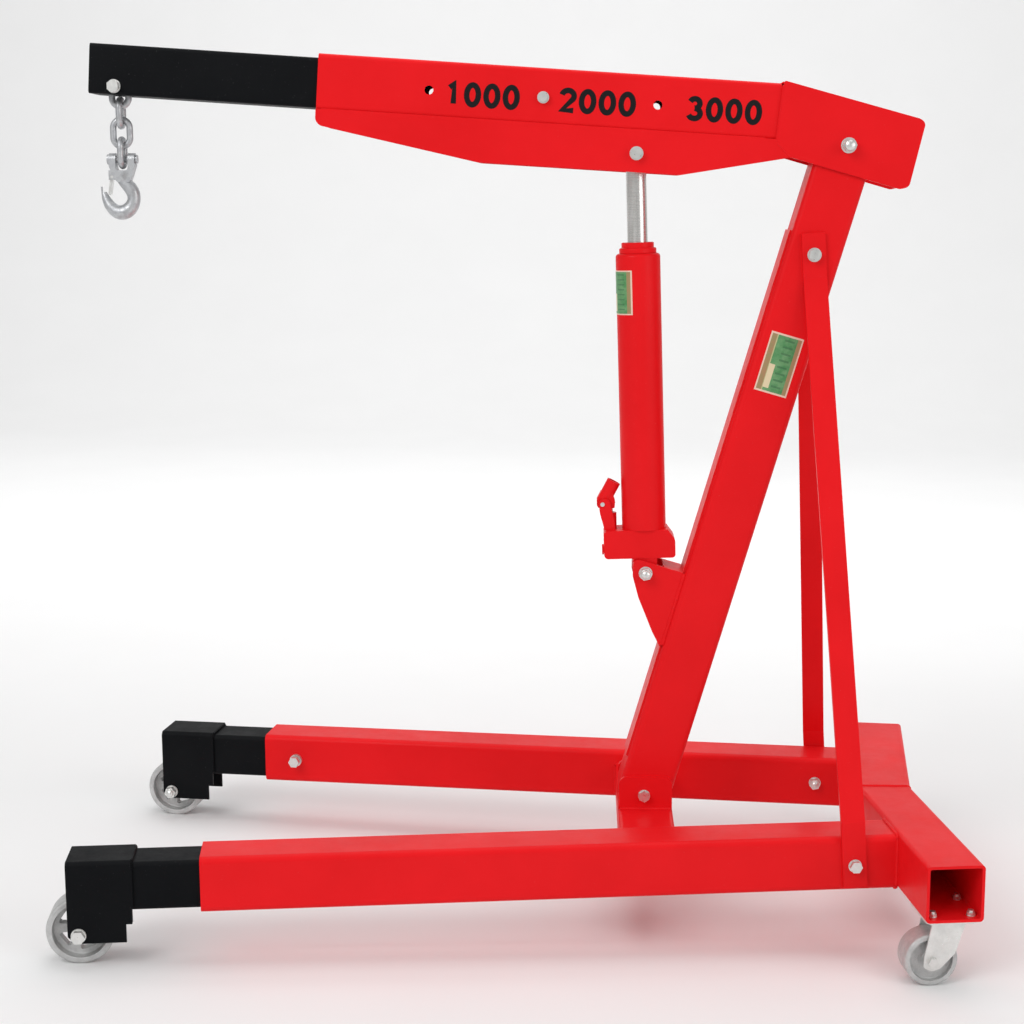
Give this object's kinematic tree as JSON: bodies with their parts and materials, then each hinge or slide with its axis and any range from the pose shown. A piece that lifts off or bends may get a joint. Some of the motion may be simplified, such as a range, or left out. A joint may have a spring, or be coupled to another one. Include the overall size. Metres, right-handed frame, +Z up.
{
  "type": "engine hoist crane",
  "caption": "Wheeled engine hoist crane: splayed leg base, leaning mast, hydraulic jack, telescopic box boom, short chain and hook.",
  "frame": {"origin": "floor under the middle of the bounding box, on the mid-plane between the legs", "axes": "-X toward the hook and the front wheels, +X to the rear casters, +Y to the far side, +Z up"},
  "size_m": [1.2198, 0.7008, 1.1992],
  "materials": {
    "red_paint": "gloss",
    "black_paint": "satin",
    "zinc": "satin",
    "galvanised": "matt",
    "ground_steel": "polished",
    "cast_iron": "rough cast"
  },
  "bodies": {
    "base": {"crossmember": "red_paint", "mast": "red_paint", "mast_front_plate": "red_paint", "jack_bracket_web": "red_paint", "rear_beam_near": "red_paint", "rear_beam_far": "red_paint", "leg_near": "red_paint", "leg_far": "red_paint", "strut_near": "red_paint", "strut_far": "red_paint", "mast_foot_plates": "red_paint", "jack_bracket_plates": "red_paint", "leg_lock_bolts": "zinc", "caster_plates": "zinc", "caster_bolts": "zinc", "mast_foot_bolt": "zinc", "strut_top_bolt": "zinc", "boom_pivot_bolt": "zinc", "jack_base_bolt": "zinc", "strut_foot_bolts": "zinc"},
    "boom": {"boom_sleeve": "red_paint", "boom_cheek_near": "red_paint", "boom_cheek_far": "red_paint", "boom_head": "red_paint", "ram_pin": "zinc", "boom_lock_pin": "zinc"},
    "boom_inner": {"boom_extension": "black_paint", "hook_bolt": "zinc"},
    "link_1": {"chain_link_1": "galvanised"},
    "link_2": {"chain_link_2": "galvanised"},
    "link_3": {"chain_link_3": "galvanised"},
    "link_4": {"chain_link_4": "galvanised"},
    "hook_body": {"hook": "galvanised", "clevis_pin": "galvanised", "latch_pin": "zinc"},
    "latch": {"hook_latch": "zinc"},
    "jack": {"jack_base": "red_paint", "jack_cylinder": "red_paint", "jack_gland": "red_paint", "lever_posts": "red_paint", "lever_pin": "zinc"},
    "ram": {"ram_rod": "ground_steel"},
    "lever": {"pump_lever": "red_paint"},
    "plunger": {"pump_plunger": "ground_steel"},
    "valve": {"release_valve": "red_paint"},
    "ext_near": {"leg_extension_near": "black_paint", "wheel_bracket_near": "black_paint", "front_axle_near": "zinc"},
    "ext_far": {"leg_extension_far": "black_paint", "wheel_bracket_far": "black_paint", "front_axle_far": "zinc"},
    "wheel_near": {"front_wheel_near": "cast_iron"},
    "wheel_far": {"front_wheel_far": "cast_iron"},
    "fork_near": {"caster_fork_near": "zinc", "caster_axle_near": "zinc"},
    "fork_far": {"caster_fork_far": "zinc", "caster_axle_far": "zinc"},
    "roller_near": {"caster_wheel_near": "cast_iron"},
    "roller_far": {"caster_wheel_far": "cast_iron"}
  },
  "joints": [
    {"name": "boom_hinge", "type": "hinge", "parent": "base", "child": "boom", "pos_m": [0.43111, 0, 1.0783], "axis": [0, 1, 0], "range_deg": [-12, 48]},
    {"name": "boom_extension_slide", "type": "slide", "parent": "boom", "child": "boom_inner", "axis": [-0.9988, 0, 0.0489], "range_m": [-0.155, 0.155]},
    {"name": "link_1_swing", "type": "hinge", "parent": "boom_inner", "child": "link_1", "pos_m": [-0.56698, 0, 1.14172], "axis": [0, 1, 0], "range_deg": [-12, 12]},
    {"name": "link_2_swing", "type": "hinge", "parent": "link_1", "child": "link_2", "pos_m": [-0.56645, 0, 1.11625], "axis": [0.9998, 0, 0.0209], "range_deg": [-12, 12]},
    {"name": "link_3_swing", "type": "hinge", "parent": "link_2", "child": "link_3", "pos_m": [-0.56589, 0, 1.08931], "axis": [0, 1, 0], "range_deg": [-12, 12]},
    {"name": "link_4_swing", "type": "hinge", "parent": "link_3", "child": "link_4", "pos_m": [-0.56533, 0, 1.06237], "axis": [0.9998, 0, 0.0209], "range_deg": [-12, 12]},
    {"name": "hook_swing", "type": "hinge", "parent": "link_4", "child": "hook_body", "pos_m": [-0.56476, 0, 1.03542], "axis": [0, 1, 0], "range_deg": [-8, 8]},
    {"name": "latch_hinge", "type": "hinge", "parent": "hook_body", "child": "latch", "pos_m": [-0.57845, 0, 1.02016], "axis": [0, -1, 0], "range_deg": [0, 30]},
    {"name": "jack_tilt", "type": "hinge", "parent": "base", "child": "jack", "pos_m": [0.17547, 0, 0.48284], "axis": [0, 1, 0], "range_deg": [-1.6, 5.9]},
    {"name": "ram_slide", "type": "slide", "parent": "jack", "child": "ram", "axis": [-0.0507, 0, 0.9987], "range_m": [-0.057, 0.224]},
    {"name": "pump_lever_hinge", "type": "hinge", "parent": "jack", "child": "lever", "pos_m": [0.11263, 0, 0.57678], "axis": [0, -1, 0], "range_deg": [0, 50]},
    {"name": "plunger_slide", "type": "slide", "parent": "jack", "child": "plunger", "axis": [-0.0507, 0, 0.9987], "range_m": [0, 0.004]},
    {"name": "release_valve_turn", "type": "hinge", "parent": "jack", "child": "valve", "pos_m": [0.11592, -0.012, 0.51186], "axis": [0.9987, 0, 0.0507], "range_deg": [0, 180]},
    {"name": "leg_extension_slide_near", "type": "slide", "parent": "base", "child": "ext_near", "axis": [-0.9923, -0.1219, -0.0207], "range_m": [-0.085, 0.12]},
    {"name": "leg_extension_slide_far", "type": "slide", "parent": "base", "child": "ext_far", "axis": [-0.9923, 0.1219, -0.0207], "range_m": [-0.085, 0.12]},
    {"name": "front_wheel_spin_near", "type": "hinge", "parent": "ext_near", "child": "wheel_near", "pos_m": [-0.5632, -0.30379, 0.04484], "axis": [-0.1218, 0.9925, -0.0025], "continuous": true},
    {"name": "front_wheel_spin_far", "type": "hinge", "parent": "ext_far", "child": "wheel_far", "pos_m": [-0.5632, 0.30379, 0.04484], "axis": [0.1218, 0.9925, 0.0025], "continuous": true},
    {"name": "caster_swivel_near", "type": "hinge", "parent": "base", "child": "fork_near", "pos_m": [0.56758, -0.28982, 0.07843], "axis": [-0.0209, 0, 0.9998], "continuous": true},
    {"name": "caster_swivel_far", "type": "hinge", "parent": "base", "child": "fork_far", "pos_m": [0.56758, 0.28982, 0.07843], "axis": [-0.0209, 0, 0.9998], "continuous": true},
    {"name": "caster_roll_near", "type": "hinge", "parent": "fork_near", "child": "roller_near", "pos_m": [0.54763, -0.29238, 0.035], "axis": [-0.1218, 0.9925, -0.0025], "continuous": true},
    {"name": "caster_roll_far", "type": "hinge", "parent": "fork_far", "child": "roller_far", "pos_m": [0.54763, 0.29238, 0.035], "axis": [0.1218, 0.9925, 0.0025], "continuous": true}
  ],
  "couplings": [
    {"joint": "jack_tilt", "follows": "boom_hinge", "ratio": 0.12},
    {"joint": "ram_slide", "follows": "boom_hinge", "m_per_rad": 0.265},
    {"joint": "plunger_slide", "follows": "pump_lever_hinge", "m_per_rad": 0.0045}
  ]
}
